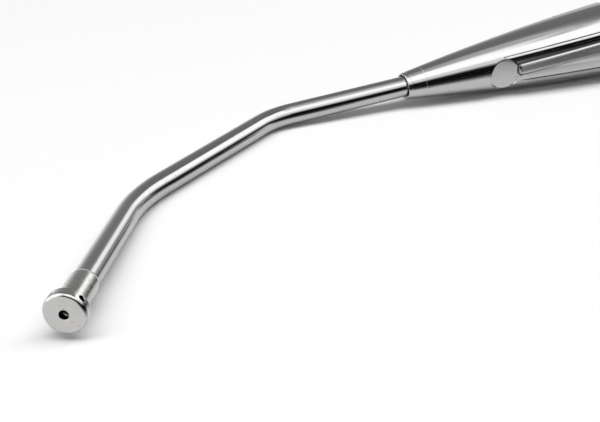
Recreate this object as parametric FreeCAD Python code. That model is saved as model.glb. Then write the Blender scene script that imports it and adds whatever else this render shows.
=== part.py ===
import FreeCAD, Part
import math
import os
from FreeCAD import Vector

# A reusable metal suction instrument, lying on its side as it comes to rest.
# It is worked out on its own axis first: X runs along the handle to the hose end, the tube
# bends towards -Y in the XY plane, and x = 0 is the handle's nose. The last step lays it down.
# All sizes are in millimetres and degrees.

# Suction tube
tube_radius = 3.175
tube_bore_radius = 2.4
run_at_handle = 43.9
run_between_bends = 61.4
run_at_tip = 60.9
bend_at_handle = 33.5
bend_at_tip = 26.0
bend_radius_at_handle = 20.0
bend_radius_at_tip = 45.0
tube_seat_in_handle = 22.0

# Button tip, measured back from its face
button_radius = 5.08
button_thickness = 3.05
button_edge_round = 0.9
button_dome = 0.2
button_wall = 1.0
face_hole_radius = 1.15
side_hole_radius = 0.78
side_hole_station = 1.9
side_hole_count = 4
side_hole_turn = 36.0
collar_radius = 3.62
collar_length = 11.2
collar_chamfer = 1.0
collar_lip = 0.12
tube_seat_in_tip = 3.4

# Handle outline, an ogive from the nose to the rim and a rounded shoulder behind it
nose_radius = 4.1
rim_radius = 11.75
ogive_length = 73.0
ogive_bulge = 0.77
shoulder_length = 11.0
shoulder_end_radius = 5.8
shoulder_bulge = 1.1

# Nose ferrule
ferrule_length = 5.9
ferrule_spigot_radius = 4.2
ferrule_spigot_length = 5.3
lip_round = 0.45
lip_gap = 0.42
lip_gap_depth = 1.2
seam_chamfer = 0.1

# Chamber inside the handle
chamber_start = 42.0
chamber_taper = 5.0
chamber_wall = 2.4
chamber_end_wall = 6.0

# Finger grips, one on each flank: a round flat, and behind it two flutes with a rib between them
grip_count = 2
spot_radius = 4.85
spot_station = 32.3
spot_depth_from_axis = 6.6
spot_turn = 13.8
spot_lean = 12.0
flute_turn = 3.3
flute_depth = 1.0
flute_half_width = 3.6
flute_flare = 3.0
rib_width = 3.3
rib_nose_station = 37.3
rib_lean = 2.8

# Hose connector
connector_spigot_radius = 4.2
connector_collar_length = 2.0
shank_radius = 4.5
shank_length = 12.0
connector_bore_radius = 2.75
barb_count = 3
barb_length = 4.0
barb_drop = 0.65


def unit(vector):
    """The same direction with a length of one."""
    return vector * (1.0 / vector.Length)


def sagitta_circle(start, end, bulge):
    """Centre and radius of the arc from start to end, (x, r) points, that stands out by bulge."""
    chord_x = end[0] - start[0]
    chord_r = end[1] - start[1]
    chord = math.hypot(chord_x, chord_r)
    radius = (chord * chord / 4.0 + bulge * bulge) / (2.0 * bulge)
    reach = (radius - bulge) / chord
    centre_x = (start[0] + end[0]) / 2.0 + chord_r * reach
    centre_r = (start[1] + end[1]) / 2.0 - chord_x * reach
    return centre_x, centre_r, radius


ogive = sagitta_circle((0.0, nose_radius), (ogive_length, rim_radius), ogive_bulge)


def handle_radius(x):
    """Outside radius of the handle at x, on the ogive's arc."""
    centre_x, centre_r, radius = ogive
    return centre_r + math.sqrt(radius * radius - (x - centre_x) ** 2)


def turned(*path):
    """Solid turned about the X axis from its half section.

    The path lists (x, r) points; a list of two points is an arc, given by its middle and end.
    """
    edges = []
    here = Vector(*path[0])
    for step in path[1:] + (path[0],):
        if isinstance(step, list):
            middle, end = Vector(*step[0]), Vector(*step[1])
            edges.append(Part.Arc(here, middle, end).toShape())
        else:
            end = Vector(*step)
            edges.append(Part.LineSegment(here, end).toShape())
        here = end
    section = Part.Face(Part.Wire(edges))
    return section.revolve(Vector(0, 0, 0), Vector(1, 0, 0), 360)


def ogive_arc(start_x, end_x, inset=0.0):
    """Middle and end points of the handle's outline between two stations, moved in by inset."""
    middle_x = (start_x + end_x) / 2.0
    return [(middle_x, handle_radius(middle_x) - inset), (end_x, handle_radius(end_x) - inset)]


def heading(turn):
    """Forward direction in the bend plane, turned from -X towards -Y."""
    angle = math.radians(turn)
    return Vector(-math.cos(angle), -math.sin(angle), 0)


# Corners and headings of the tube's centre line
forward = [heading(0), heading(bend_at_handle), heading(bend_at_handle + bend_at_tip)]
corner_at_handle = forward[0] * run_at_handle
corner_at_tip = corner_at_handle + forward[1] * run_between_bends
tip_face = corner_at_tip + forward[2] * run_at_tip


def bend_arc(corner, before, after, radius):
    """Start, middle, end and centre of the arc that rounds a corner."""
    half_turn = before.getAngle(after) / 2.0
    inwards = unit(after - before)
    reach = radius * math.tan(half_turn)
    centre = corner + inwards * (radius / math.cos(half_turn))
    return corner - before * reach, centre - inwards * radius, corner + after * reach, centre


first_bend = bend_arc(corner_at_handle, forward[0], forward[1], bend_radius_at_handle)
second_bend = bend_arc(corner_at_tip, forward[1], forward[2], bend_radius_at_tip)


def tube_along(start, heading_there, *edges):
    """Seamless tube swept along straight runs joined by tangent arcs."""
    route = Part.Wire([edge.toShape() for edge in edges])
    outside, inside = [
        route.makePipeShell([Part.Wire(Part.makeCircle(radius, start, heading_there))], True, False)
        for radius in (tube_radius, tube_bore_radius)
    ]
    return outside.cut(inside)


def tube_halves():
    """The tube in two simpler lengths that meet square across its middle run, each bent once."""
    start = Vector(tube_seat_in_handle, 0, 0)
    middle = (first_bend[2] + second_bend[0]) * 0.5
    end = tip_face - forward[2] * tube_seat_in_tip
    at_handle = tube_along(
        start, forward[0],
        Part.LineSegment(start, first_bend[0]),
        Part.Arc(*first_bend[:3]),
        Part.LineSegment(first_bend[2], middle),
    )
    at_tip = tube_along(
        middle, forward[1],
        Part.LineSegment(middle, second_bend[0]),
        Part.Arc(*second_bend[:3]),
        Part.LineSegment(second_bend[2], end),
    )
    return at_handle, at_tip


def suction_tip():
    """Turned button tip: a drilled button with a collar that screws over the tube's end."""
    collar_end = button_thickness + collar_length
    lip_radius = tube_radius + collar_lip
    edge = button_edge_round
    round_middle = edge * (1.0 - math.sqrt(0.5))
    rim_start = button_dome + edge
    flat_radius = button_radius - edge
    dome_middle = (face_hole_radius + flat_radius) / 2.0
    dome_rise = button_dome * (1.0 - (dome_middle / flat_radius) ** 2)
    hole_rise = button_dome * (1.0 - (face_hole_radius / flat_radius) ** 2)
    body = turned(
        (button_dome - hole_rise, face_hole_radius),
        [(button_dome - dome_rise, dome_middle), (button_dome, flat_radius)],
        [(button_dome + round_middle, button_radius - round_middle), (rim_start, button_radius)],
        (button_thickness, button_radius),
        (button_thickness, collar_radius),
        (collar_end, collar_radius),
        (collar_end + collar_chamfer, lip_radius),
        (collar_end + collar_chamfer, tube_radius),
        (tube_seat_in_tip, tube_radius),
        (tube_seat_in_tip, tube_bore_radius),
        (button_dome + button_wall, tube_bore_radius),
        (button_dome + button_wall, face_hole_radius),
    )
    drills = []
    for index in range(side_hole_count):
        angle = math.radians(side_hole_turn + index * 360.0 / side_hole_count)
        outwards = Vector(0, -math.cos(angle), math.sin(angle))
        start = Vector(side_hole_station, 0, 0)
        drills.append(Part.makeCylinder(side_hole_radius, 2 * button_radius, start, outwards))
    body = body.cut(drills)
    body.rotate(Vector(0, 0, 0), Vector(0, 0, 1), bend_at_handle + bend_at_tip)
    body.translate(tip_face)
    return body


def nose_ferrule():
    """Tapered ring that closes the handle's nose round the tube, with a rounded lip."""
    gap_radius = tube_radius + lip_gap
    spigot_end = ferrule_length + ferrule_spigot_length
    lip_middle = (gap_radius + handle_radius(lip_round)) / 2.0
    seam = ferrule_length - seam_chamfer
    return turned(
        (lip_gap_depth, tube_radius),
        (lip_gap_depth, gap_radius),
        (lip_round, gap_radius),
        [(0.0, lip_middle), (lip_round, handle_radius(lip_round))],
        ogive_arc(lip_round, seam),
        (ferrule_length, handle_radius(ferrule_length) - seam_chamfer),
        (ferrule_length, ferrule_spigot_radius),
        (spigot_end, ferrule_spigot_radius),
        (spigot_end, tube_radius),
    )


def grip_cutters():
    """Round flat and the two flutes of one grip, as solids to cut away, facing -Y."""
    reach = 2 * rim_radius
    run_out = ogive_length + shoulder_length
    flute_length = run_out - spot_station
    far_half_width = flute_half_width + flute_length * math.tan(math.radians(flute_flare))
    wedge_corners = [
        Vector(spot_station, 0, -flute_half_width),
        Vector(run_out, 0, -far_half_width),
        Vector(run_out, 0, far_half_width),
        Vector(spot_station, 0, flute_half_width),
    ]
    outline = Part.makePolygon(wedge_corners + wedge_corners[:1])
    wedge = Part.Face(outline).extrude(Vector(0, -reach, 0))
    floor_start = spot_station - spot_radius
    flute_floor = turned(
        (floor_start, 0.0),
        (floor_start, handle_radius(floor_start) - flute_depth),
        ogive_arc(floor_start, run_out, flute_depth),
        (run_out, 0.0),
    )
    rib_radius = rib_width / 2.0
    rib_start = Vector(rib_nose_station, 0, 0)
    rib_corner = Vector(rib_nose_station, -reach, -rib_radius)
    rib = Part.makeBox(run_out - rib_nose_station, reach, rib_width, rib_corner)
    rib = rib.fuse(Part.makeCylinder(rib_radius, reach, rib_start, Vector(0, -1, 0)))
    rib.rotate(rib_start, Vector(0, 1, 0), -rib_lean)
    flutes = wedge.cut([flute_floor, rib])
    spot_floor = Vector(spot_station, -spot_depth_from_axis, 0)
    spot = Part.makeCylinder(spot_radius, reach, spot_floor, Vector(0, -1, 0))
    spot.rotate(spot_floor, Vector(0, 0, 1), -spot_lean)
    for shape, turn in ((rib, flute_turn), (flutes, flute_turn), (spot, spot_turn)):
        shape.rotate(Vector(0, 0, 0), Vector(1, 0, 0), turn)
    return [spot.cut(rib), flutes]


def handle_body():
    """Hollow handle: ogive, rounded shoulder, sockets for its neighbours and the finger grips."""
    handle_end = ogive_length + shoulder_length
    rim = (ogive_length, rim_radius)
    shoulder = sagitta_circle(rim, (handle_end, shoulder_end_radius), shoulder_bulge)
    shoulder_x = ogive_length + shoulder_length / 2.0
    shoulder_r = shoulder[1] + math.sqrt(shoulder[2] ** 2 - (shoulder_x - shoulder[0]) ** 2)
    seam = ferrule_length + seam_chamfer
    spigot_end = ferrule_length + ferrule_spigot_length
    chamber_full = chamber_start + chamber_taper
    chamber_back = ogive_length - chamber_taper
    connector_seat = handle_end - chamber_end_wall
    body = turned(
        (ferrule_length, ferrule_spigot_radius),
        (ferrule_length, handle_radius(ferrule_length) - seam_chamfer),
        (seam, handle_radius(seam)),
        ogive_arc(seam, ogive_length),
        [(shoulder_x, shoulder_r), (handle_end, shoulder_end_radius)],
        (handle_end, connector_spigot_radius),
        (connector_seat, connector_spigot_radius),
        (chamber_back, handle_radius(chamber_back) - chamber_wall),
        ogive_arc(chamber_back, chamber_full, chamber_wall),
        (chamber_start, tube_bore_radius),
        (tube_seat_in_handle, tube_bore_radius),
        (tube_seat_in_handle, tube_radius),
        (spigot_end, tube_radius),
        (spigot_end, ferrule_spigot_radius),
    )
    cutters = []
    for index in range(grip_count):
        for cutter in grip_cutters():
            cutter.rotate(Vector(0, 0, 0), Vector(1, 0, 0), index * 360.0 / grip_count)
            cutters.append(cutter)
    return body.cut(cutters)


def hose_connector():
    """Turned hose tail: a spigot in the handle, a collar, a plain shank and cut barbs."""
    handle_end = ogive_length + shoulder_length
    collar_end = handle_end + connector_collar_length
    shank_end = collar_end + shank_length
    outline = [
        (handle_end - chamber_end_wall, connector_bore_radius),
        (handle_end - chamber_end_wall, connector_spigot_radius),
        (handle_end, connector_spigot_radius),
        (handle_end, shoulder_end_radius),
        (collar_end, shoulder_end_radius),
        (collar_end, shank_radius),
        (shank_end, shank_radius),
    ]
    for index in range(barb_count):
        barb_start = shank_end + index * barb_length
        if index > 0:
            outline.append((barb_start, shank_radius))
        outline.append((barb_start + barb_length, shank_radius - barb_drop))
    outline.append((shank_end + barb_count * barb_length, connector_bore_radius))
    return turned(*outline)


def lowest_point(centre, axis, radius, up):
    """Lowest point of a round section."""
    return centre - unit(up - axis * up.dot(axis)) * radius


def floor_normal():
    """Upward normal of the floor, in the instrument's own frame.

    It lies along the whole middle run of the tube and on one round section of the handle, which
    holds its weight between them, so the button clears the floor. The tilt about the middle run
    is halved in on until both are as low as each other.
    """
    steps = 400
    stations = [ogive_length * index / steps for index in range(steps + 1)]
    lift = Vector(0, 0, 1).cross(forward[1])
    low, high = 0.0, 45.0
    for _ in range(50):
        tilt = math.radians((low + high) / 2.0)
        up = Vector(0, 0, math.cos(tilt)) + lift * math.sin(tilt)
        handle_foot = min(
            lowest_point(Vector(x, 0, 0), forward[0], handle_radius(x), up).dot(up) for x in stations
        )
        tube_foot = lowest_point(corner_at_handle, forward[1], tube_radius, up).dot(up)
        if handle_foot < tube_foot:
            low = math.degrees(tilt)
        else:
            high = math.degrees(tilt)
    return up


def lay_down(shapes):
    """Turn the shapes so that the floor is level, and put the origin under their middle."""
    up = floor_normal()
    along = unit(Vector(1, 0, 0) - up * up.x)
    across = up.cross(along)
    level = FreeCAD.Placement(FreeCAD.Matrix(
        along.x, along.y, along.z, 0,
        across.x, across.y, across.z, 0,
        up.x, up.y, up.z, 0,
        0, 0, 0, 1,
    ))
    for shape in shapes:
        shape.Placement = level.multiply(shape.Placement)
    box = Part.makeCompound(shapes).optimalBoundingBox(False, False)
    middle = Vector(box.Center.x, box.Center.y, box.ZMin)
    for shape in shapes:
        shape.translate(middle * -1)
    nose = middle * -1
    print("floor normal in the instrument's frame:", [round(value, 5) for value in up])
    print("axis of the handle:", [round(value, 5) for value in level.Rotation.multVec(Vector(1, 0, 0))])
    print("centre of the handle's nose:", [round(value, 3) for value in nose])


tube_at_handle, tube_at_tip = tube_halves()
parts = {
    "suction_tip": suction_tip(),
    "tube_at_tip": tube_at_tip,
    "tube_at_handle": tube_at_handle,
    "nose_ferrule": nose_ferrule(),
    "handle_body": handle_body(),
    "hose_connector": hose_connector(),
}
lay_down(list(parts.values()))

os.makedirs("parts", exist_ok=True)
for name, shape in parts.items():
    shape.exportStep("parts/" + name + ".step")
    print(name, "valid" if shape.isValid() else "not valid", len(shape.Solids), "solid",
          round(shape.Volume / 1000.0, 3), "cubic centimetres")
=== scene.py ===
# %% [markdown]
# ## A metal suction instrument, lying on a white table
#
# The object is a hollow handle with finger grips, a bent steel tube soldered into its nose, a
# drilled button that screws on the tube's end, and a hose tail. Everything is metal, so the
# picture is made of reflections: the shapes have to be smooth and exact, and the studio round
# them has to hold the same bright and dark shapes as the room in the photograph. The fixed frame
# is loaded first. It carries the real sizes, and every piece made here stays inside its box.

# %% Load the frame
from functools import partial
import bpy
import numpy as np
from mathutils import Matrix


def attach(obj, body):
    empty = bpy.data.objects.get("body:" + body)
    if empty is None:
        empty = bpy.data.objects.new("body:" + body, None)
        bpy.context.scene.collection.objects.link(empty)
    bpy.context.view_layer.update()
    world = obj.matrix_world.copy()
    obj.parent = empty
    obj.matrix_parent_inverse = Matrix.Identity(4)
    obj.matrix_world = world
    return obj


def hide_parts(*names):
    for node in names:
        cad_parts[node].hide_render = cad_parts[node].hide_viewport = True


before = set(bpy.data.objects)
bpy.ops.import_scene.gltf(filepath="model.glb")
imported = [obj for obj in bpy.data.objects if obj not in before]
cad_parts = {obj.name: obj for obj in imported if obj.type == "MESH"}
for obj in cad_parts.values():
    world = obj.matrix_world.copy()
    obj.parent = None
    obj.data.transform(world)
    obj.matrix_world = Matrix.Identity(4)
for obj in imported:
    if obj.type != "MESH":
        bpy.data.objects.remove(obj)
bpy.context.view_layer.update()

# %% [markdown]
# ## Where the instrument lies
#
# A maker works along the instrument's own axis: x runs back along the handle from its nose, and
# the tube bends towards -y in the xy plane. The finished thing lies a little tilted, on the
# round handle and on the tube's middle run. So each piece is worked out on its own axis in
# millimetres, and one function lays it down in the frame, in metres.

# %% Lay points down in the frame
floor_up = np.array([0.07355, -0.11112, 0.99108])
nose_place = np.array([10.157, 38.096, 6.404])

up_axis = floor_up / np.linalg.norm(floor_up)
along_axis = np.array([1.0, 0.0, 0.0]) - up_axis * up_axis[0]
along_axis = along_axis / np.linalg.norm(along_axis)
across_axis = np.cross(up_axis, along_axis)
lay_rows = np.stack([along_axis, across_axis, up_axis])


def lay_down(points):
    """Instrument millimetres to frame metres: turned by lay_rows, moved to the nose, scaled."""
    return (points @ lay_rows.T + nose_place) * 0.001


print("handle's axis in the frame:", (lay_rows @ np.array([1.0, 0.0, 0.0])).round(4))

# %% [markdown]
# ## Surfaces from grids
#
# Every piece here is a turned or drawn shape, so each one can be a grid of points: rows along
# the piece and columns round it. Polished metal shows the smallest fault in its shading, and
# normals averaged from the faces are a little wrong where columns change their spacing. So the
# normals are worked out from the grid too: the tangents along rows and columns are found with
# the exact three-point formula for unequal steps, and their cross product is the normal.

# %% Grid helpers
def around_axis(x, r, turn):
    """Points round the x axis: (x, -r cos turn, r sin turn)."""
    return np.stack(np.broadcast_arrays(x, -r * np.cos(turn), r * np.sin(turn)), axis=-1)


def grid_tangent(points, axis):
    """Direction of the surface along one axis of a grid that closes on itself.

    With steps a back and b forward, it is b * slope back + a * slope forward.
    """
    ahead = np.roll(points, -1, axis) - points
    behind = np.roll(ahead, 1, axis)
    step_ahead = np.linalg.norm(ahead, axis=2, keepdims=True) + 1e-12
    step_behind = np.linalg.norm(behind, axis=2, keepdims=True) + 1e-12
    return behind / step_behind * step_ahead + ahead / step_ahead * step_behind


def grid_normals(points):
    """Unit normals of a grid: along the columns crossed with along the rows."""
    normal = np.cross(grid_tangent(points, 1), grid_tangent(points, 0))
    return normal / (np.linalg.norm(normal, axis=2, keepdims=True) + 1e-15)


def grid_faces(rows, columns, closed_rows=True, closed_columns=True):
    """Corner numbers of the quads between neighbouring rows and columns."""
    row = np.arange(rows if closed_rows else rows - 1)[:, None]
    column = np.arange(columns if closed_columns else columns - 1)[None, :]
    next_row, next_column = (row + 1) % rows, (column + 1) % columns
    return np.stack(np.broadcast_arrays(
        row * columns + column, next_row * columns + column,
        next_row * columns + next_column, row * columns + next_column), axis=2)


def grid_uv(along, around):
    """Lengths along and around, in millimetres, at the four corners of each quad."""
    u0, v0 = np.meshgrid(along[:-1], around[:-1], indexing="ij")
    u1, v1 = np.meshgrid(along[1:], around[1:], indexing="ij")
    corners = ((u0, v0), (u1, v0), (u1, v1), (u0, v1))
    return np.stack([np.stack(corner, axis=2) for corner in corners], axis=2)


def add_object(name, data):
    """A new object at the origin that shows the mesh, lamp or camera data."""
    thing = bpy.data.objects.new(name, data)
    bpy.context.scene.collection.objects.link(thing)
    return thing


def new_mesh(name, points, faces):
    """A mesh from arrays of points and of corner numbers."""
    mesh = bpy.data.meshes.new(name)
    mesh.from_pydata(points.reshape(-1, 3), [], faces.reshape(-1, 4))
    return mesh


def store(mesh, name, values):
    """Keeps one number per point on a mesh, for its material to read."""
    layer = mesh.attributes.new(name, "FLOAT", "POINT")
    layer.data.foreach_set("value", np.asarray(values, dtype=np.float32).ravel())


def make_piece(name, points, normals, faces, uv):
    """A mesh object at the origin from instrument points, their normals, quads and lengths.

    Quads whose corner order turns against the normals are turned round, so all face outwards.
    """
    faces = faces.reshape(-1, 4)
    uv = uv.reshape(-1, 4, 2)
    flat_points = points.reshape(-1, 3)
    flat_normals = normals.reshape(-1, 3)
    side_a = flat_points[faces[:, 2]] - flat_points[faces[:, 0]]
    side_b = flat_points[faces[:, 3]] - flat_points[faces[:, 1]]
    facing = np.sum(np.cross(side_a, side_b) * flat_normals[faces].sum(axis=1), axis=1)
    faces = np.where(facing[:, None] < 0, faces[:, ::-1], faces)
    uv = np.where(facing[:, None, None] < 0, uv[:, ::-1], uv)
    mesh = new_mesh(name, lay_down(flat_points), faces)
    mesh.polygons.foreach_set("use_smooth", np.ones(len(faces), dtype=bool))
    lengths = mesh.uv_layers.new(name="lengths")
    lengths.data.foreach_set("uv", uv.astype(np.float32).ravel())
    mesh.normals_split_custom_set_from_vertices((flat_normals @ lay_rows.T).tolist())
    mesh.update()
    print(f"{name}: {len(faces)} faces")
    return add_object(name, mesh)


def stands_for(piece, slot, *nodes):
    """The piece rides on the one body and replaces its frame nodes. The slot is not used."""
    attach(piece, "root")
    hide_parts(*nodes)


# %% [markdown]
# ## Turned pieces
#
# The nose ferrule, the button tip and the hose tail come off a lathe. A lathe hand never leaves
# a knife edge, and a perfectly sharp corner has no highlight, so each corner of the half
# section gets a small round. Two points close behind each round keep the flat faces beside it
# flat in the reflections.

# %% Lathe helpers
nearly_straight, side_share = 1.55, 0.42
hold_most, hold_least, hold_share = 0.08, 0.02, 0.2


def rounded_section(corners, radii, steps=4):
    """Half section through (x, r) corners, each rounded to its radius, as a closed loop.

    A round touches both sides at radius / tan(half the corner's angle) from the corner, and
    its points are spread evenly over the turn between the two touching points.
    """
    corners = np.asarray(corners, dtype=float)
    before = np.roll(corners, 1, 0) - corners
    after = np.roll(corners, -1, 0) - corners
    room = np.minimum(np.linalg.norm(before, axis=1), np.linalg.norm(after, axis=1))
    pieces = []
    for corner, back, ahead, radius, space in zip(corners, before, after, radii, room):
        back, ahead = back / np.linalg.norm(back), ahead / np.linalg.norm(ahead)
        half = np.arccos(np.clip(np.dot(back, ahead), -1.0, 1.0)) / 2.0
        if radius <= 0.0 or half > nearly_straight:
            pieces.append(corner[None, :])
            continue
        reach = min(radius / np.tan(half), side_share * space)
        bisector = (back + ahead) / np.linalg.norm(back + ahead)
        centre = corner + bisector * reach / np.cos(half)
        size = reach * np.tan(half)
        start, end = corner + back * reach - centre, corner + ahead * reach - centre
        share = np.linspace(0.0, 1.0, steps + 1)[:, None]
        swing = np.arccos(np.clip(np.dot(start, end) / size ** 2, -1.0, 1.0))
        arc = np.sin((1 - share) * swing) * start + np.sin(share * swing) * end
        hold = reach + min(hold_most, hold_share * reach + hold_least)
        pieces += [(corner + back * hold)[None, :], centre + arc / np.sin(swing),
                   (corner + ahead * hold)[None, :]]
    return np.concatenate(pieces)


def outward(normals, section):
    """Normals turned so that they point out of the closed section.

    A loop that runs with its area on one hand has its outside on the other, which the sign of
    its shoelace area tells.
    """
    x, r = section[:, 0], section[:, 1]
    area = np.sum(x * np.roll(r, -1) - np.roll(x, -1) * r)
    return normals * (1.0 if area < 0 else -1.0)


def path_lengths(section):
    """Running length along a closed section, back to its start."""
    steps = np.linalg.norm(np.roll(section, -1, 0) - section, axis=1)
    return np.concatenate([[0.0], np.cumsum(steps)])


def turned_piece(name, section, around=160):
    """A closed half section turned about the x axis into a piece."""
    turns = np.linspace(0.0, 2.0 * np.pi, around, endpoint=False)
    points = around_axis(section[:, :1], section[:, 1:], turns)
    girth = np.linspace(0.0, 2.0 * np.pi * section[:, 1].max(), around + 1)
    return make_piece(
        name, points, outward(grid_normals(points), section),
        grid_faces(len(section), around), grid_uv(path_lengths(section), girth))


# %% [markdown]
# ## The handle's outline
#
# Seen from the side the handle is an ogive: a long shallow arc from the nose to the widest
# section, and then a rounded shoulder down to the hose tail. An arc is set here by its two ends
# and by how far it stands out from the straight line between them.

# %% Outline of the handle
nose_radius, rim_radius = 4.1, 11.75
ogive_length, ogive_bulge = 73.0, 0.77
shoulder_length, shoulder_end_radius, shoulder_bulge = 11.0, 5.8, 1.1
handle_end = ogive_length + shoulder_length
ferrule_length, spigot_radius, spigot_length = 5.9, 4.2, 5.3
seam_half, seam_drop = 0.04, 0.035


def arc_between(start, end, bulge):
    """Function r(x) on the arc from start to end that stands out by bulge."""
    chord_x, chord_r = end[0] - start[0], end[1] - start[1]
    chord = np.hypot(chord_x, chord_r)
    radius = (chord ** 2 / 4.0 + bulge ** 2) / (2.0 * bulge)
    reach = (radius - bulge) / chord
    centre_x = (start[0] + end[0]) / 2.0 + chord_r * reach
    centre_r = (start[1] + end[1]) / 2.0 - chord_x * reach
    return lambda x: centre_r + np.sqrt(radius ** 2 - (x - centre_x) ** 2)


rim = (ogive_length, rim_radius)
ogive_radius = arc_between((0.0, nose_radius), rim, ogive_bulge)
shoulder_radius = arc_between(rim, (handle_end, shoulder_end_radius), shoulder_bulge)
seam_bottom = float(ogive_radius(ferrule_length)) - seam_drop
print("radius at the seam:", round(seam_bottom + seam_drop, 2), "mm")

# %% [markdown]
# ## The handle and its finger grips
#
# On the real handle a cutter sinks a round flat into each flank, and behind it mills two long
# flutes that leave a rib between them. One way is to cut a lathe shape with boolean solids, but
# that leaves slivers that show in the polish. Here the handle is one grid. Its rows are
# stations along the axis. Its columns are angles, gathered where the rib and the lips of the
# flutes run, so that the long edges follow columns. The cuts then push points straight into
# the flank, by a depth that falls off over a third of a millimetre at each edge.

# %% Sizes of the grips
spot_station, spot_radius, spot_stretch, spot_floor = 31.95, 4.85, 1.07, 6.6
spot_turn, spot_lean, flute_turn = np.radians(13.8), np.radians(12.0), np.radians(3.3)
flute_depth, flute_flare = 1.0, np.radians(3.0)
lower_half_width, lower_lip_depth, lower_slope, lower_curve = 3.85, 0.15, 0.42, 0.045
lower_reach, lower_start, lower_run_in = 4.5, 34.5, 5.0
upper_half_width, upper_lip_depth, upper_slope = 4.4, 0.4, 0.42
upper_shoulder, shoulder_rise, shoulder_soft = 0.75, 0.14, 0.15
rib_half_width, rib_round, rib_nose, rib_lean, rib_drop = 1.9, 1.3, 37.65, np.radians(3.7), 0.25
chamfer_width, upper_chamfer_slope, lower_chamfer_slope = 0.55, 0.55, 1.2
bead_start, bead_reach, bead_height, bead_share, bead_fade = 0.66, 0.9, 0.12, 0.6, 1.4
edge_half = 0.16
# Widths, starts and depths of the painted shade: dark lines round the rib, along the lips and round
# the round flat, and a tint over the flat.
rib_line_reach, lip_line_reach = 0.27, 0.2
spot_line_reach, spot_line_off, spot_line_start, spot_line_fade = 0.3, 0.1, -0.5, 2.5
spot_shade, spot_shade_slope = 0.1, 0.03
upper_line_start, lower_line_start, line_run_in = 44.0, 36.0, 6.0


def flute_edge(station, half_width):
    """Width from the panel's middle to a lip: it flares straight from the round flat."""
    return half_width + (station - spot_station) * np.tan(flute_flare)


def rib_middle(station):
    """Width at which the rib's middle runs: it drifts by tan(lean) per millimetre."""
    return (station - rib_nose) * np.tan(rib_lean) - rib_drop


def spread(*runs):
    """One rising row of numbers through runs of (start, end, steps), each joint given once."""
    parts = [np.linspace(start, end, steps, endpoint=False) for start, end, steps in runs]
    return np.concatenate(parts + [[runs[-1][1]]])


# %% Rows and columns of the handle
stations = spread(
    (ferrule_length + seam_half, 6.4, 4), (6.4, 26.6, 28), (26.6, 40.0, 124), (40.0, 72.6, 44),
    (72.6, 72.9, 4), (72.9, 73.3, 10), (73.3, 75.5, 14), (75.5, handle_end - 0.3, 14),
    (handle_end - 0.3, handle_end - 0.05, 4),
)
panel_edge = np.radians(50.0)
panel_steps = (32, 8, 18, 8, 14, 10, 14, 8, 18, 8, 32)
back_steps = 27


def panel_angles(station):
    """Angles of the columns over one grip, from one edge of the panel to the other.

    The rib's sides and the flutes' lips are set by their true widths, as the arcsine of width
    over radius. Ahead of the rib all keep the angles that they have where it starts.
    """
    held = np.clip(station, rib_nose, ogive_length)
    middle = rib_middle(held)
    offsets = rib_half_width - np.array([-edge_half, edge_half, bead_reach])
    lower, upper = -flute_edge(held, lower_half_width), flute_edge(held, upper_half_width)
    widths = np.concatenate([[lower - edge_half, lower + edge_half], middle - offsets,
                             middle + offsets[::-1], [upper - edge_half, upper + edge_half]])
    ends = np.concatenate([[-panel_edge], np.arcsin(widths / ogive_radius(held)), [panel_edge]])
    return spread(*zip(ends[:-1], ends[1:], panel_steps))


panel = np.array([panel_angles(station) for station in stations]) - flute_turn
back = np.linspace(panel[0, -1], np.pi + panel[0, 0], back_steps)[1:-1]
back = np.broadcast_to(back, (len(stations), back.size))
columns = np.concatenate([panel, back, panel + np.pi, back + np.pi], axis=1)
print("handle grid:", columns.shape)


# %% Outlines and depths of the cuts
def smooth(share):
    """A smooth S from 0 to 1, level at both ends: share squared times (3 - 2 share)."""
    share = np.clip(share, 0.0, 1.0)
    return share * share * (3.0 - 2.0 * share)


def ease(distance):
    """1 well inside an outline, 0 well outside, with a smooth step over the edge's width."""
    return smooth(0.5 - distance / (2.0 * edge_half))


def rib_outline(station, width):
    """Signed distance to the rib: a long bar, round at both front corners, turned by its lean."""
    ahead = (rib_nose - station) * np.cos(rib_lean) - (width + rib_drop) * np.sin(rib_lean)
    across = (width + rib_drop) * np.cos(rib_lean) - (station - rib_nose) * np.sin(rib_lean)
    beside = np.abs(across) - (rib_half_width - rib_round)
    corner = np.hypot(np.maximum(ahead, 0.0), np.maximum(beside, 0.0))
    return corner + np.minimum(np.maximum(ahead, beside), 0.0) - rib_round


def past_lip(station, width):
    """Width past the nearer lip of the flaring panel, less than 0 inside."""
    half_width = np.where(width > 0.0, upper_half_width, lower_half_width)
    return np.abs(width) - flute_edge(station, half_width)


def flute_outline(station, width):
    """Signed distance to both flutes: inside the panel, behind the flat's middle, off the rib."""
    panel_side = np.maximum(past_lip(station, width) * np.cos(flute_flare), spot_station - station)
    return np.maximum(panel_side, -rib_outline(station, width))


def flute_depths(station, width):
    """Depth of the flutes' floors under the ogive, at most flute_depth.

    Each grows from its lip towards the rib, so that both floors are almost flat. The lower one
    comes in softly behind the round flat, and the upper one has a narrow shoulder.
    """
    from_lower = np.clip(flute_edge(station, lower_half_width) + width, 0.0, lower_reach)
    lower = lower_lip_depth + (lower_slope - lower_curve * from_lower) * from_lower
    lower = lower * smooth((station - lower_start) / lower_run_in)
    from_upper = flute_edge(station, upper_half_width) - width
    past = from_upper - upper_shoulder
    upper = upper_lip_depth - shoulder_rise * np.maximum(from_upper, 0.0)
    upper = upper + upper_slope * (past + np.hypot(past, shoulder_soft)) / 2.0
    return np.minimum(np.where(width > rib_middle(station), upper, lower), flute_depth)


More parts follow.
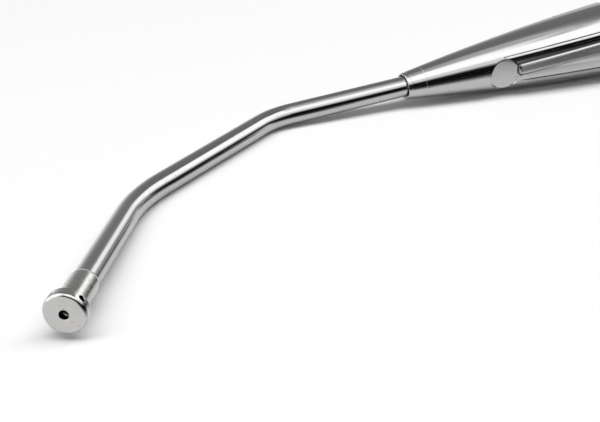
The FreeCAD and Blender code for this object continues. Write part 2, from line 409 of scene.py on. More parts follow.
def rib_relief(station, width, within):
    """How far the rib's top lies under the ogive, and 1 on its sunk face.

    A chamfer runs round the edge, steeper below than above. Past the bead that is left along
    the upper edge the face is sunk by bead_height.
    """
    above = width - rib_middle(station)
    gentler = upper_chamfer_slope - lower_chamfer_slope
    steepness = lower_chamfer_slope + gentler * smooth(0.5 + above)
    chamfer = steepness * np.clip(chamfer_width - np.maximum(within, 0.0), 0.0, chamfer_width)
    face = smooth((within - bead_start) / (bead_reach - bead_start))
    sunk = bead_height * face * smooth(bead_share + above / bead_fade)
    return chamfer * (1.0 - ease(within)) + sunk, face


# %% Cut the grips
def push_in(points, station, side):
    """Points of the handle with one grip cut into the flank that faces side * -y.

    In the grip's own axes a point is (station, width, depth). A cut lowers a depth to the one
    that its floor has there: the ogive's radius less the flute's depth, or, on the round flat, a
    plane that leans towards the nose by tan(lean) per millimetre. Also gives how satin the
    cutter left each point, 1 on the rib and half on the flat, and how much painted shade darkens
    it: thin dark lines round the rib, along both lips and round the round flat, and a tint over
    the round flat that is darker towards the upper side.
    """
    def own_axes(turn):
        outwards = np.array([0.0, -np.cos(turn), -np.sin(turn)]) * side
        sideways = np.array([0.0, -np.sin(turn), np.cos(turn)]) * side
        return outwards, points @ outwards, points @ sideways

    outwards, depth, width = own_axes(flute_turn)
    within = -rib_outline(station, width)
    lowered, satin = rib_relief(station, width, within)
    floor_radius = ogive_radius(station) - flute_depths(station, width)
    floor = np.sqrt(np.maximum(floor_radius ** 2 - width ** 2, 0.0))
    sink = lowered + np.maximum(depth - lowered - floor, 0.0) * ease(flute_outline(station, width))
    points = points - np.where(depth > 0.0, sink, 0.0)[..., None] * outwards
    # Painted shade: thin dark lines along both lips and round the rib, where the creases fall in
    # shade.
    line_start = np.where(width > 0.0, upper_line_start, lower_line_start)
    lip_line = np.exp(-(past_lip(station, width) / lip_line_reach) ** 2)
    lip_line = lip_line * smooth((station - line_start) / line_run_in)
    rib_line = np.exp(-((within + edge_half / 2.0) / rib_line_reach) ** 2)
    painted_shade = np.where(depth > 0.0, np.maximum(rib_line, lip_line), 0.0)
    satin = np.where(depth > 0.0, satin, 0.0)

    outwards, depth, width = own_axes(spot_turn)
    floor = spot_floor + (station - spot_station) * np.tan(spot_lean)
    along = (station - spot_station) * np.cos(spot_lean) + (floor - spot_floor) * np.sin(spot_lean)
    beyond = np.hypot(along / spot_stretch, width) - spot_radius
    weight = np.where(depth > 0.0, ease(beyond) * ease(within), 0.0)
    # Painted shade: a dark ring round the round flat, and a tint over the flat, darker towards the
    # upper side.
    spot_line = np.exp(-((beyond - spot_line_off) / spot_line_reach) ** 2)
    spot_line = spot_line * smooth((width - spot_line_start) / spot_line_fade)
    spot_line = np.maximum(spot_line, (spot_shade + spot_shade_slope * width) * weight)
    spot_line = np.where(depth > 0.0, spot_line, 0.0)
    points = points - ((depth - floor) * weight)[..., None] * outwards
    return points, np.maximum(satin, 0.5 * weight), np.maximum(painted_shade, spot_line)


rim_soft_depth, rim_soft_reach = 0.05, 0.12
station_grid = np.broadcast_to(stations[:, None], columns.shape)
radius_row = np.where(stations < ogive_length, ogive_radius(np.minimum(stations, ogive_length)),
                      shoulder_radius(np.maximum(stations, ogive_length)))
rim_soft = rim_soft_depth * np.exp(-((stations - ogive_length) / rim_soft_reach) ** 2)
skin = around_axis(station_grid, (radius_row - rim_soft)[:, None], columns)
satin_grid, shade_grid = np.zeros(columns.shape), np.zeros(columns.shape)
for side in (1.0, -1.0):
    skin, satin, painted_shade = push_in(skin, station_grid, side)
    satin_grid, shade_grid = np.maximum(satin_grid, satin), np.maximum(shade_grid, painted_shade)

# %% Close the handle and make it
# The inner rows are hidden by the ferrule and the hose tail: they close the shell.
inner_rows = (
    (handle_end, shoulder_end_radius - 0.1, -1), (handle_end, spigot_radius, -1),
    (ferrule_length, spigot_radius, 0), (ferrule_length, seam_bottom, 0),
)
inner = np.stack([around_axis(x, r, columns[row]) for x, r, row in inner_rows])
handle_points = np.concatenate([skin, inner])
handle_normals = grid_normals(handle_points)
middle = len(stations) // 2
outside = np.sum(handle_normals[middle, :, 1:] * handle_points[middle, :, 1:])
hidden_lengths, girth_radius = handle_end + np.array([0.0, 2.0, 76.0, 78.0, 80.0]), 9.0
handle = make_piece(
    "handle", handle_points, handle_normals * np.sign(outside),
    grid_faces(*handle_points.shape[:2]),
    grid_uv(np.concatenate([stations, hidden_lengths]),
            np.linspace(0.0, 2.0 * np.pi * girth_radius, columns.shape[1] + 1)),
)
# The painted shade of both grips is stored for the finish to paint dark.
for name, grid in (("milled", satin_grid), ("painted_shade", shade_grid)):
    store(handle.data, name, np.concatenate([grid, np.zeros(inner.shape[:2])]))
stands_for(handle, "handle_steel", "handle_body")

# %% [markdown]
# ## The nose ferrule
#
# A tapered ring closes the handle's nose. Its outline carries on the handle's arc, so only a
# hairline seam shows where the two meet. Its front lip is round and stands clear of the tube,
# with a narrow dark gap between them, and a shallow neck line runs round behind the lip.

# %% Make the ferrule
tube_radius, tube_bore = 3.175, 2.4
lip_round, gap_radius, gap_depth, gap_soft = 0.45, tube_radius + 0.42, 1.2, 0.03
neck_station, neck_depth, neck_reach = 1.25, 0.09, 0.16
lip_share = np.linspace(0.0, np.pi, 13)
lip_outer = float(ogive_radius(lip_round))
lip_middle, lip_half = (gap_radius + lip_outer) / 2.0, (lip_outer - gap_radius) / 2.0
lip = np.stack([
    lip_round * (1.0 - np.sin(lip_share)), lip_middle - lip_half * np.cos(lip_share)
], axis=1)
taper = np.linspace(lip_round, ferrule_length - seam_half, 60)[1:]
neck_line = neck_depth * np.exp(-((taper - neck_station) / neck_reach) ** 2)
taper = np.stack([taper, ogive_radius(taper) - neck_line], axis=1)
spigot_end = ferrule_length + spigot_length
ferrule_section = np.concatenate([
    [(gap_depth, tube_radius), (gap_depth, gap_radius - gap_soft),
     (gap_depth - gap_soft, gap_radius), (lip_round + 0.05, gap_radius)],
    lip, taper,
    [(ferrule_length, seam_bottom), (ferrule_length, spigot_radius), (spigot_end, spigot_radius),
     (spigot_end, tube_radius)],
])
ferrule = turned_piece("ferrule", ferrule_section)
stands_for(ferrule, "handle_steel", "nose_ferrule")

# %% [markdown]
# ## The hose tail
#
# Behind the handle the hose pushes over a turned tail: a collar, a plain shank, and three cut
# barbs that slope towards the free end so that the hose slides on and won't come off.

# %% Make the hose tail
shank_radius, shank_length, tail_bore, tail_seat, collar_length = 4.5, 12.0, 2.75, 6.0, 2.0
barb_count, barb_length, barb_drop = 3, 4.0, 0.65
collar_end = handle_end + collar_length
shank_end = collar_end + shank_length
barb_ends = shank_end + barb_length * np.arange(1, barb_count + 1)
barbs = [(x, r) for x in barb_ends for r in (shank_radius - barb_drop, shank_radius)][:-1]
tail_corners = [
    (handle_end - tail_seat, tail_bore), (handle_end - tail_seat, spigot_radius),
    (handle_end, spigot_radius), (handle_end, shoulder_end_radius),
    (collar_end, shoulder_end_radius), (collar_end, shank_radius), (shank_end, shank_radius),
    *barbs, (barb_ends[-1], tail_bore),
]
tail_rounds = [0.15, 0, 0, 0.15, 0.3, 0.25, 0.0, *[0.1, 0.08] * (barb_count - 1), 0.25, 0.25]
tail = turned_piece("hose_tail", rounded_section(tail_corners, tail_rounds), 120)
stands_for(tail, "connector_steel", "hose_connector")

# %% [markdown]
# ## The suction tube
#
# The tube is drawn steel, bent twice in one plane. It could be a curve object with a bevel, but
# its columns would then turn and bunch in the bends. Here the centre line is worked out as
# straight runs and arcs, and a ring is set square across it at each station.

# %% Centre line of the tube
bend_turns = np.radians([33.5, 26.0])
bend_radii = np.array([20.0, 45.0])
runs = np.array([43.9, 61.4, 60.9])
tube_seat, tip_seat = 22.0, 3.4
straight_steps, bend_steps = 24, 50


def centre_line():
    """Stations (running length, x, y, heading) along the tube, from the handle to the tip.

    A bend of radius R that turns by t takes R * tan(t / 2) off the run on each side of its
    corner, and its length is R * t.
    """
    cut = bend_radii * np.tan(bend_turns / 2.0)
    straights = runs + [tube_seat, 0.0, -tip_seat] - [cut[0], cut[0] + cut[1], cut[1]]
    place, heading, length, rows = np.array([tube_seat, 0.0]), 0.0, -tube_seat, []
    for index, straight in enumerate(straights):
        ahead = np.array([-np.cos(heading), -np.sin(heading)])
        share = np.linspace(0.0, straight, straight_steps)
        rows.append(np.stack([
            length + share, place[0] + ahead[0] * share, place[1] + ahead[1] * share,
            np.full(straight_steps, heading)], axis=1))
        place, length = place + ahead * straight, length + straight
        if index < len(bend_turns):
            radius, turn = bend_radii[index], bend_turns[index]
            angle = heading + turn * np.linspace(0.0, 1.0, bend_steps)[1:-1]
            hub = place + radius * np.array([np.sin(heading), -np.cos(heading)])
            rows.append(np.stack([
                length + radius * (angle - heading),
                hub[0] - radius * np.sin(angle), hub[1] + radius * np.cos(angle), angle], axis=1))
            place = hub + radius * np.array([-np.sin(heading + turn), np.cos(heading + turn)])
            heading, length = heading + turn, length + radius * turn
    return np.concatenate(rows)


line = centre_line()
print("tube length:", round(float(line[-1, 0] - line[0, 0]), 1), "mm")


# %% Make the tube
def tube_rings(radius, turns):
    """Rings square across the line: out of the bend plane by sin, and across it by cos."""
    x, y, heading = line[:, 1:2], line[:, 2:3], line[:, 3:4]
    across = radius * np.cos(turns)
    return np.stack(np.broadcast_arrays(
        x + across * np.sin(heading), y - across * np.cos(heading), radius * np.sin(turns)), axis=2)


tube_turns = np.linspace(0.0, 2.0 * np.pi, 96, endpoint=False)
tube_points = np.concatenate([
    tube_rings(tube_radius, tube_turns), tube_rings(tube_bore, tube_turns)[::-1]
])
tube_normals = grid_normals(tube_points)
ring_out = tube_points[0] - np.array([line[0, 1], line[0, 2], 0.0])
tube_normals = tube_normals * np.sign(np.sum(tube_normals[0] * ring_out))
inside_lengths = 400.0
tube_along = np.concatenate([
    line[:, 0], line[::-1, 0] + inside_lengths, [line[0, 0] + inside_lengths - 1.0]])
tube = make_piece(
    "tube", tube_points, tube_normals, grid_faces(*tube_points.shape[:2]),
    grid_uv(tube_along, np.linspace(0.0, 2.0 * np.pi * tube_radius, tube_turns.size + 1)),
)
stands_for(tube, "tube_steel", "tube_at_handle", "tube_at_tip")

# %% [markdown]
# ## The button tip
#
# The button is turned with a slightly domed face, a soft edge, and a collar that screws over
# the tube. One hole goes through its face and four smaller ones through its rim. Boolean holes
# leave long thin faces round each hole, so the grid makes room for them instead: inside a
# square window the grid's squares are eased into circles, the middle is left out, and the
# hole's wall goes down from that round edge.

# %% Section of the tip
button_radius, button_thickness, button_edge, button_dome = 5.08, 3.05, 0.9, 0.2
button_floor, face_hole, collar_radius, collar_reach = 1.2, 1.15, 3.62, 14.25
flat_radius = button_radius - button_edge
edge_end = button_dome + button_edge
hole_count, hole_turn, hole_station, hole_edge, hole_radius = 4, np.radians(36.0), 1.9, 0.86, 0.78
window_cells, hole_cells, window_along_half, window_across_half = 24, 12, 1.08, 1.16
window_x = hole_station + np.linspace(-window_along_half, window_along_half, window_cells + 1)


def rim_height(x):
    """Radius of the button's rim at x: a quarter circle at the edge, then straight."""
    inside = np.clip(edge_end - x, 0.0, button_edge)
    return flat_radius + np.sqrt(button_edge ** 2 - inside ** 2)


face_r = np.concatenate([
    face_hole + np.array([0.12, 0.2]), np.linspace(face_hole + 0.4, flat_radius, 14)])
face_x = button_dome * (face_r / flat_radius) ** 2
edge_angle = np.linspace(0.0, np.arccos((edge_end - window_x[0]) / button_edge), 9)[1:-1]
edge_line = np.stack([
    button_dome + button_edge * (1.0 - np.cos(edge_angle)),
    flat_radius + button_edge * np.sin(edge_angle)], axis=1)
back_section = rounded_section([
    (button_thickness, button_radius), (button_thickness, collar_radius),
    (collar_reach, collar_radius), (collar_reach + 1.0, tube_radius + 0.12),
    (collar_reach + 1.0, tube_radius), (tip_seat, tube_radius), (tip_seat, tube_bore),
    (button_floor, tube_bore), (button_floor, face_hole), (button_floor / 2.0, face_hole),
], [0.06, 0.15, 0.12, 0.05, 0.0, 0.0, 0.0, 0.0, 0.05, 0.0])
tip_section = np.concatenate([
    np.stack([face_x, face_r], axis=1), edge_line,
    np.stack([window_x, rim_height(window_x)], axis=1),
    back_section[1:],
    [(0.12, face_hole), (0.05, face_hole + 0.035)],
])
first_window = len(face_x) + len(edge_line)
print("tip section:", len(tip_section), "points")

# %% Columns of the tip and its four windows
hole_turns = hole_turn + np.arange(hole_count) * 2.0 * np.pi / hole_count
half_window = window_across_half / button_radius
tip_turns = np.concatenate([turn + spread(
    (-half_window, half_window, window_cells), (half_window, np.pi / 2.0 - half_window, 20)
)[:-1] for turn in hole_turns])
between_holes = tip_turns.size // hole_count
rows_x = np.repeat(tip_section[:, :1], tip_turns.size, axis=1)
rows_r = np.repeat(tip_section[:, 1:], tip_turns.size, axis=1)
turn_grid = np.repeat(tip_turns[None, :], len(tip_section), axis=0)


def ease_to_circle(a, b):
    """Window coordinates from -1 to 1 to (along, across) millimetres, round near the hole.

    The square ring that (a, b) lies on, at m = max(|a|, |b|), becomes a circle of the hole's
    edge where the hole starts, and eases back to a square at the window's edge.
    """
    ring = np.maximum(np.abs(a), np.abs(b))
    angle = np.arctan2(a, b)
    start = hole_cells / window_cells
    share = np.clip((ring - start) / (1.0 - start), 0.0, 1.0)
    along = hole_edge * np.cos(angle) * (1.0 - share) + b * window_along_half * share
    across = hole_edge * np.sin(angle) * (1.0 - share) + a * window_across_half * share
    return along, across


window_line = np.linspace(-1.0, 1.0, window_cells + 1)
window_along, window_across = ease_to_circle(*np.meshgrid(window_line, window_line))
in_window = slice(first_window, first_window + window_cells + 1)
for index, turn in enumerate(hole_turns):
    columns_here = (index * between_holes + np.arange(window_cells + 1)) % tip_turns.size
    rows_x[in_window, columns_here] = hole_station + window_along
    rows_r[in_window, columns_here] = rim_height(hole_station + window_along)
    turn_grid[in_window, columns_here] = turn + np.arcsin(window_across / button_radius)
tip_points = around_axis(rows_x, rows_r, turn_grid)
tip_normals = outward(grid_normals(tip_points), tip_section)
# On the rim the true normal is known: outwards, leaning forwards on the rounded edge.
lean = np.clip((edge_end - rows_x[in_window]) / button_edge, 0.0, 1.0)
tip_normals[in_window] = around_axis(-lean, np.sqrt(1.0 - lean ** 2), turn_grid[in_window])

# %% Walls of the side holes
half_cells = hole_cells // 2
wall_step, wall_girth, straight_depth, hole_depth = 0.3, 4.9, 0.16, 2.6
side_steps = np.arange(-half_cells, half_cells)
near_side, far_side = np.full(hole_cells, -half_cells), np.full(hole_cells, half_cells)
steps_row = np.concatenate([near_side, side_steps, far_side, -side_steps])
steps_column = np.concatenate([side_steps, far_side, -side_steps, near_side])
ring_angle = np.arctan2(steps_column, steps_row)
# Each ring of a wall: its radius, its depth, and how far its normal lifts out of the hole.
wall_radius, wall_depth, wall_lift = np.array([
    (hole_edge - 0.045, 0.02, 0.75), (hole_radius + 0.01, 0.09, 0.3),
    (hole_radius, straight_depth, 0.0), (hole_radius, hole_depth, 0.3),
    (hole_radius * 0.5, hole_depth, 1.0), (0.01, hole_depth, 1.0),
]).T[:, :, None]


def hole_wall(turn):
    """Rings down a side hole: the soft edge, the straight wall and its floor, with normals."""
    ahead = np.array([1.0, 0.0, 0.0])
    out = around_axis(0.0, 1.0, turn)
    side = np.array([0.0, np.sin(turn), np.cos(turn)])
    along = wall_radius * np.cos(ring_angle)
    across = wall_radius * np.sin(ring_angle)
    top = np.sqrt(rim_height(hole_station + along) ** 2 - across ** 2)
    height = np.where(wall_depth > straight_depth, button_radius, top) - wall_depth
    points = (hole_station + along)[..., None] * ahead + across[..., None] * side
    inwards = -np.cos(ring_angle)[:, None] * ahead - np.sin(ring_angle)[:, None] * side
    lift = wall_lift[..., None]
    normals = inwards[None] * np.sqrt(1.0 - lift ** 2) + out * lift
    return points + height[..., None] * out, normals


tip_faces = grid_faces(len(tip_section), tip_turns.size)
tip_uv = grid_uv(path_lengths(tip_section),
                 np.linspace(0.0, 2.0 * np.pi * button_radius, tip_turns.size + 1))
keep = np.ones(tip_faces.shape[:2], dtype=bool)
all_points, all_normals = [tip_points.reshape(-1, 3)], [tip_normals.reshape(-1, 3)]
wall_faces = []
wall_shape = (wall_radius.size, ring_angle.size)
wall_loop = grid_faces(wall_shape[0] + 1, wall_shape[1], False, True).reshape(-1, 4)
one_wall_uv = grid_uv(np.arange(wall_shape[0] + 1) * wall_step,
                      np.linspace(0.0, wall_girth, wall_shape[1] + 1)).reshape(-1, 4, 2)
row_middle = first_window + window_cells // 2
hole_rows = slice(row_middle - half_cells, row_middle + half_cells)
for index, turn in enumerate(hole_turns):
    column_middle = index * between_holes + window_cells // 2
    keep[hole_rows, column_middle - half_cells:column_middle + half_cells] = False
    rim_loop = (row_middle + steps_row) * tip_turns.size + column_middle + steps_column
    points, normals = hole_wall(turn)
    count = sum(map(len, all_points))
    numbers = np.concatenate([rim_loop, count + np.arange(wall_shape[0] * wall_shape[1])])
    wall_faces.append(numbers[wall_loop])
    all_points.append(points.reshape(-1, 3))
    all_normals.append(normals.reshape(-1, 3))

# %% Make the tip
tip_turn = bend_turns.sum()
tip_heading = np.array([np.cos(tip_turn), np.sin(tip_turn), 0.0])
tip_axes = np.array([tip_heading, [-tip_heading[1], tip_heading[0], 0.0], [0.0, 0.0, 1.0]])
tip_face = np.array([line[-1, 1], line[-1, 2], 0.0]) - tip_seat * tip_heading
tip = make_piece(
    "button_tip", np.concatenate(all_points) @ tip_axes + tip_face,
    np.concatenate(all_normals) @ tip_axes,
    np.concatenate([tip_faces[keep].reshape(-1, 4)] + wall_faces),
    np.concatenate([tip_uv[keep].reshape(-1, 4, 2)] + [one_wall_uv] * hole_count),
)
# The bores and the side holes' walls are stored to be painted dark: painted shade inside the holes.
section_x, section_r = tip_section.T
in_bore = (section_r < face_hole + 0.03) | (section_x > 0.5) & (section_r < tube_bore + 0.01)
in_wall = np.tile(np.repeat(wall_depth > 0.1, ring_angle.size), hole_count)
store(tip.data, "bore", np.concatenate([np.repeat(in_bore, tip_turns.size), in_wall]))
stands_for(tip, "tip_steel", "suction_tip")

# %% [markdown]
# ## Finishes
#
# Bare metal has no colour of its own beyond how much it reflects. Steel and chrome send back
# about half of the light, so the shader is fully metallic with a mid grey. What makes it
# look real is the roughness: polishing leaves hairline scratches, handling adds more, and the
# part near the tip has been rubbed satin. Patterns follow each piece by the lengths that were
# stored on it, in millimetres along and around.

# %% Node helpers
def node(tree, kind, inputs=(), **settings):
    """A new node: its settings by name, and its inputs, each a value or a socket to link from."""
    made = tree.nodes.new("ShaderNode" + kind)
    for name, value in settings.items():
        setattr(made, name, value)
    for name, value in dict(inputs).items():
        if isinstance(value, bpy.types.NodeSocket):
            tree.links.new(value, made.inputs[name])
        else:
            made.inputs[name].default_value = value
    return made


def empty_tree(holder):
    """The node tree of a material or a world, with no node in it."""
    holder.use_nodes = True
    holder.node_tree.nodes.clear()
    return holder.node_tree


def new_finish(name):
    """An empty metallic material: its tree, its shader and the piece's lengths as a vector."""
    material = bpy.data.materials.new(name)
    tree = empty_tree(material)
    shader = node(tree, "BsdfPrincipled", {"Metallic": 1.0})
    node(tree, "OutputMaterial", {"Surface": shader.outputs["BSDF"]})
    return material, tree, shader, node(tree, "UVMap", uv_map="lengths").outputs["UV"]


def stored_value(tree, name):
    """The number that is stored on the mesh under a name."""
    return node(tree, "Attribute", attribute_name=name).outputs["Fac"]


def combine(tree, how, first, second):
    """One math node between two values, each a socket or a number."""
    return node(tree, "Math", {0: first, 1: second}, operation=how).outputs["Value"]


def maths(tree):
    """Three ways to combine two values: multiply them, add them, or take the larger."""
    return [partial(combine, tree, how) for how in ("MULTIPLY", "ADD", "MAXIMUM")]


def span(tree, value, start, end, low=0.0, high=1.0, kind="LINEAR"):
    """The value mapped from start..end to low..high, and kept between them."""
    return node(tree, "MapRange", {
        "Value": value, "From Min": start, "From Max": end, "To Min": low, "To Max": high,
    }, interpolation_type=kind).outputs["Result"]


def streaks(tree, vector, turn, long_scale, cross_scale, sharpness, offset=0.0):
    """Hairlines: noise stretched by unequal scales along a turned direction, cut to its crests.

    Turning and stretching are two mappings, because one mapping scales before it turns. The
    crest value is (noise - (1 - sharpness)) / (0.4 * sharpness), kept from 0 to 1.
    """
    turned = node(tree, "Mapping", {
        "Vector": vector, "Rotation": (0.0, 0.0, turn), "Location": (offset, offset * 1.7, offset)})
    stretched = node(tree, "Mapping", {
        "Vector": turned.outputs["Vector"], "Scale": (long_scale, cross_scale, 1.0)})
    noise = node(tree, "TexNoise", {
        "Vector": stretched.outputs["Vector"], "Scale": 1.0, "Detail": 3.0, "Roughness": 0.65,
    }, noise_dimensions="2D")
    return span(tree, noise.outputs["Fac"], 1.0 - sharpness, 1.0 - sharpness * 0.6)


def patches(tree, scale, low, high):
    """Soft patches over the piece: noise mapped from low to high."""
    noise = node(tree, "TexNoise", {"Vector": object_place(tree), "Scale": scale, "Detail": 4.0})
    return span(tree, noise.outputs["Fac"], 0.35, 0.65, low, high)


def band(tree, value, start, full, end, gone):
    """1 between full and end, easing to 0 at start and gone."""
    rise = span(tree, value, start, full, kind="SMOOTHSTEP")
    fall = span(tree, value, end, gone, 1.0, 0.0, kind="SMOOTHSTEP")
    return combine(tree, "MULTIPLY", rise, fall)


def specks(tree, scale, share):
    """Tiny round pits: near the point of a cell, in the few cells whose random value is high."""
    cells = node(tree, "TexVoronoi", {"Vector": object_place(tree), "Scale": scale})
    near = combine(tree, "LESS_THAN", cells.outputs["Distance"], 0.16)
    split = node(tree, "SeparateColor", {"Color": cells.outputs["Color"]})
    chosen = combine(tree, "GREATER_THAN", split.outputs["Red"], 1.0 - share)
    return combine(tree, "MULTIPLY", near, chosen)


def object_place(tree):
    """The piece's own coordinates, in metres."""
    return node(tree, "TexCoord").outputs["Object"]


def length_along(tree, lengths):
    """The length along the piece alone."""
    return node(tree, "SeparateXYZ", {"Vector": lengths}).outputs["X"]


def finish_with(tree, shader, rough, base, dark, pits, marks, mark_height, depth, recess_shade=None):
    """Sets the roughness, a base colour that is dark in the pits and in the painted shade of
    recesses, and the relief.

    The relief is mark_height * marks - pits, and depth is the real height of 1, in metres.
    """
    share = pits if recess_shade is None else combine(tree, "MAXIMUM", pits, recess_shade)
    mix = node(tree, "Mix", {"A": (*base, 1.0), "B": (dark, dark, dark, 1.0), "Factor": share},
               data_type="RGBA")
    height = combine(tree, "MULTIPLY", marks, mark_height)
    height = combine(tree, "SUBTRACT", height, pits)
    bump = node(tree, "Bump", {"Height": height, "Distance": depth, "Strength": 1.0})
    tree.links.new(rough, shader.inputs["Roughness"])
    tree.links.new(mix.outputs["Result"], shader.inputs["Base Color"])
    tree.links.new(bump.outputs["Normal"], shader.inputs["Normal"])


# %% [markdown]
# ## Mirror polish on the handle
#
# The handle and its ferrule share one mirror finish. It is not perfect glass: fine lines from
# polishing run round and along it, and a few dark specks sit in the surface. The roughness
# stays low. The scratches lift it a little and stand out by a thousandth of a millimetre. The
# grips are satin where the cutter milled them, and painted shade darkens their creases and
# their round flats.

# %% Handle finish
relief_depth, handle_grey = 0.000006, (0.47, 0.47, 0.475)
handle_metal, tree, shader, lengths = new_finish("handle_mirror")
times, plus, larger = maths(tree)
long_lines = streaks(tree, lengths, 0.06, 0.06, 5.0, 0.42)
cross_lines = streaks(tree, lengths, 1.15, 0.15, 6.0, 0.36, 7.0)
scratches = larger(long_lines, cross_lines)
rough = plus(patches(tree, 90.0, 0.05, 0.085), times(scratches, 0.10))
rough = plus(rough, times(stored_value(tree, "milled"), 0.36))
# Painted shade: the stored lines and the round flats are painted almost black, along with the
# specks.
dark_spots = larger(specks(tree, 900.0, 0.012), times(stored_value(tree, "painted_shade"), 0.95))
finish_with(tree, shader, rough, handle_grey, 0.02, dark_spots, scratches, 0.2, relief_depth)
for piece in (handle, ferrule):
    piece.data.materials.append(handle_metal)
print("handle finish:", len(tree.nodes), "nodes")

# %% [markdown]
# ## Drawn steel on the tube
#
# The tube is the same bright metal, but it has been wiped and handled more: the marks run along
# it. Towards the tip it has been rubbed to a soft satin, and there is a patch of wear on the
# middle run. Both are set by the length along the tube.

# %% Tube finish
tube_grey = (0.46, 0.458, 0.455)
satin_run, worn_run = (96.0, 146.0, 500.0, 501.0), (84.0, 92.0, 106.0, 116.0)
tube_metal, tree, shader, lengths = new_finish("tube_bright")
times, plus, larger = maths(tree)
along = length_along(tree, lengths)
drawn = streaks(tree, lengths, 0.0, 0.05, 6.0, 0.46)
rubbed = streaks(tree, lengths, 0.5, 0.3, 7.0, 0.4, 11.0)
satin_share, worn = band(tree, along, *satin_run), band(tree, along, *worn_run)
marks = larger(drawn, times(rubbed, larger(worn, satin_share)))
rough = plus(patches(tree, 120.0, 0.03, 0.06), times(satin_share, 0.14))
rough = plus(rough, times(marks, 0.08))
dark_spots = larger(specks(tree, 1100.0, 0.03), times(times(rubbed, worn), 0.7))
finish_with(tree, shader, rough, tube_grey, 0.04, dark_spots, marks, 0.3, relief_depth)
tube.data.materials.append(tube_metal)
print("tube finish:", len(tree.nodes), "nodes")

# %% [markdown]
# ## Satin on the button, and the turned tail
#
# The button is the most worn piece. Its face still shows the fine rings of the lathe, broken by
# small pits, and only its rounded edge is bright. On a turned piece the first length runs along
# the section, so noise that changes fast along it and slowly around it makes rings.

# %% Tip and tail finishes
def turned_finish(name, base, pit_share, polished):
    """Satin metal with lathe rings and pits, brighter over the polished band of the section."""
    material, tree, shader, lengths = new_finish(name)
    times, plus, _ = maths(tree)
    rings = streaks(tree, lengths, 0.0, 9.0, 0.05, 0.6)
    rough = plus(patches(tree, 600.0, 0.14, 0.22), times(rings, 0.08))
    bright = times(band(tree, length_along(tree, lengths), *polished), 0.65)
    rough = times(rough, combine(tree, "SUBTRACT", 1.0, bright))
    pits = specks(tree, 1500.0, pit_share)
    # Painted shade: the stored bore goes almost black.
    finish_with(tree, shader, rough, base, 0.02, pits, rings, 0.3, turned_relief_depth,
                stored_value(tree, "bore"))
    return material


turned_relief_depth = 0.000008
no_band = (-3.0, -2.0, -1.5, -1.0)
tip.data.materials.append(
    turned_finish("button_satin", (0.52, 0.515, 0.505), 0.25, (2.7, 3.0, 4.6, 5.4)))
tail.data.materials.append(turned_finish("tail_turned", (0.48, 0.476, 0.47), 0.01, no_band))

# %% [markdown]
# ## The table
#
# The real table leaves the picture pure white, with a tight dark shadow under the metal. So it
# is a plain white paint, lit until it just reaches white.

# %% Floor
floor_reach, floor_white = 4.0, 0.96
floor_corners = np.array([[-1.0, -1.0, 0.0], [1.0, -1.0, 0.0], [1.0, 1.0, 0.0], [-1.0, 1.0, 0.0]])
floor = add_object("table_top", new_mesh("table_top", floor_corners * floor_reach, np.arange(4)))

table_white = bpy.data.materials.new("table_white")
tree = empty_tree(table_white)
paint = node(tree, "BsdfDiffuse", {"Color": (floor_white, floor_white, floor_white, 1.0)})
node(tree, "OutputMaterial", {"Surface": paint.outputs["BSDF"]})
floor.data.materials.append(table_white)

# %% [markdown]
# ## Light
#
# One long soft lamp hangs across the table from left to right. The handle lies along it, so its
# shadow is short and dark. The tube's end turns across it, so its shadow is washed out.
# Polished metal shows the whole room, so most of the picture is decided by what stands round
# it: a large bright cloth in front and to the right, with its lower edge high at the front and
# low at the right, a dark room below that edge, and a grey wall behind that is bright near the
# table. A dome that only reflections see holds that room, as a smooth function of two angles.

# %% Soft lamp
lamp_place = (-0.02, -0.12, 1.2)
lamp_long, lamp_short, lamp_radiance = 3.0, 0.64, 3.48
lamp_data = bpy.data.lights.new("soft_lamp", "AREA")
lamp_data.shape = "RECTANGLE"
lamp_data.size, lamp_data.size_y = lamp_long, lamp_short
# The power of a lamp of radiance L and area A is pi * A * L.
lamp_data.energy = np.pi * lamp_long * lamp_short * lamp_radiance
lamp = add_object("soft_lamp", lamp_data)
lamp.location = lamp_place
lamp.visible_glossy = False
print("lamp:", round(lamp_data.energy, 2), "W")


# %% The room as a function of two angles
def rise_from(value, start, end):
    """0 before start, 1 after end, and a smooth S between them."""
    return smooth((value - start) / (end - start))


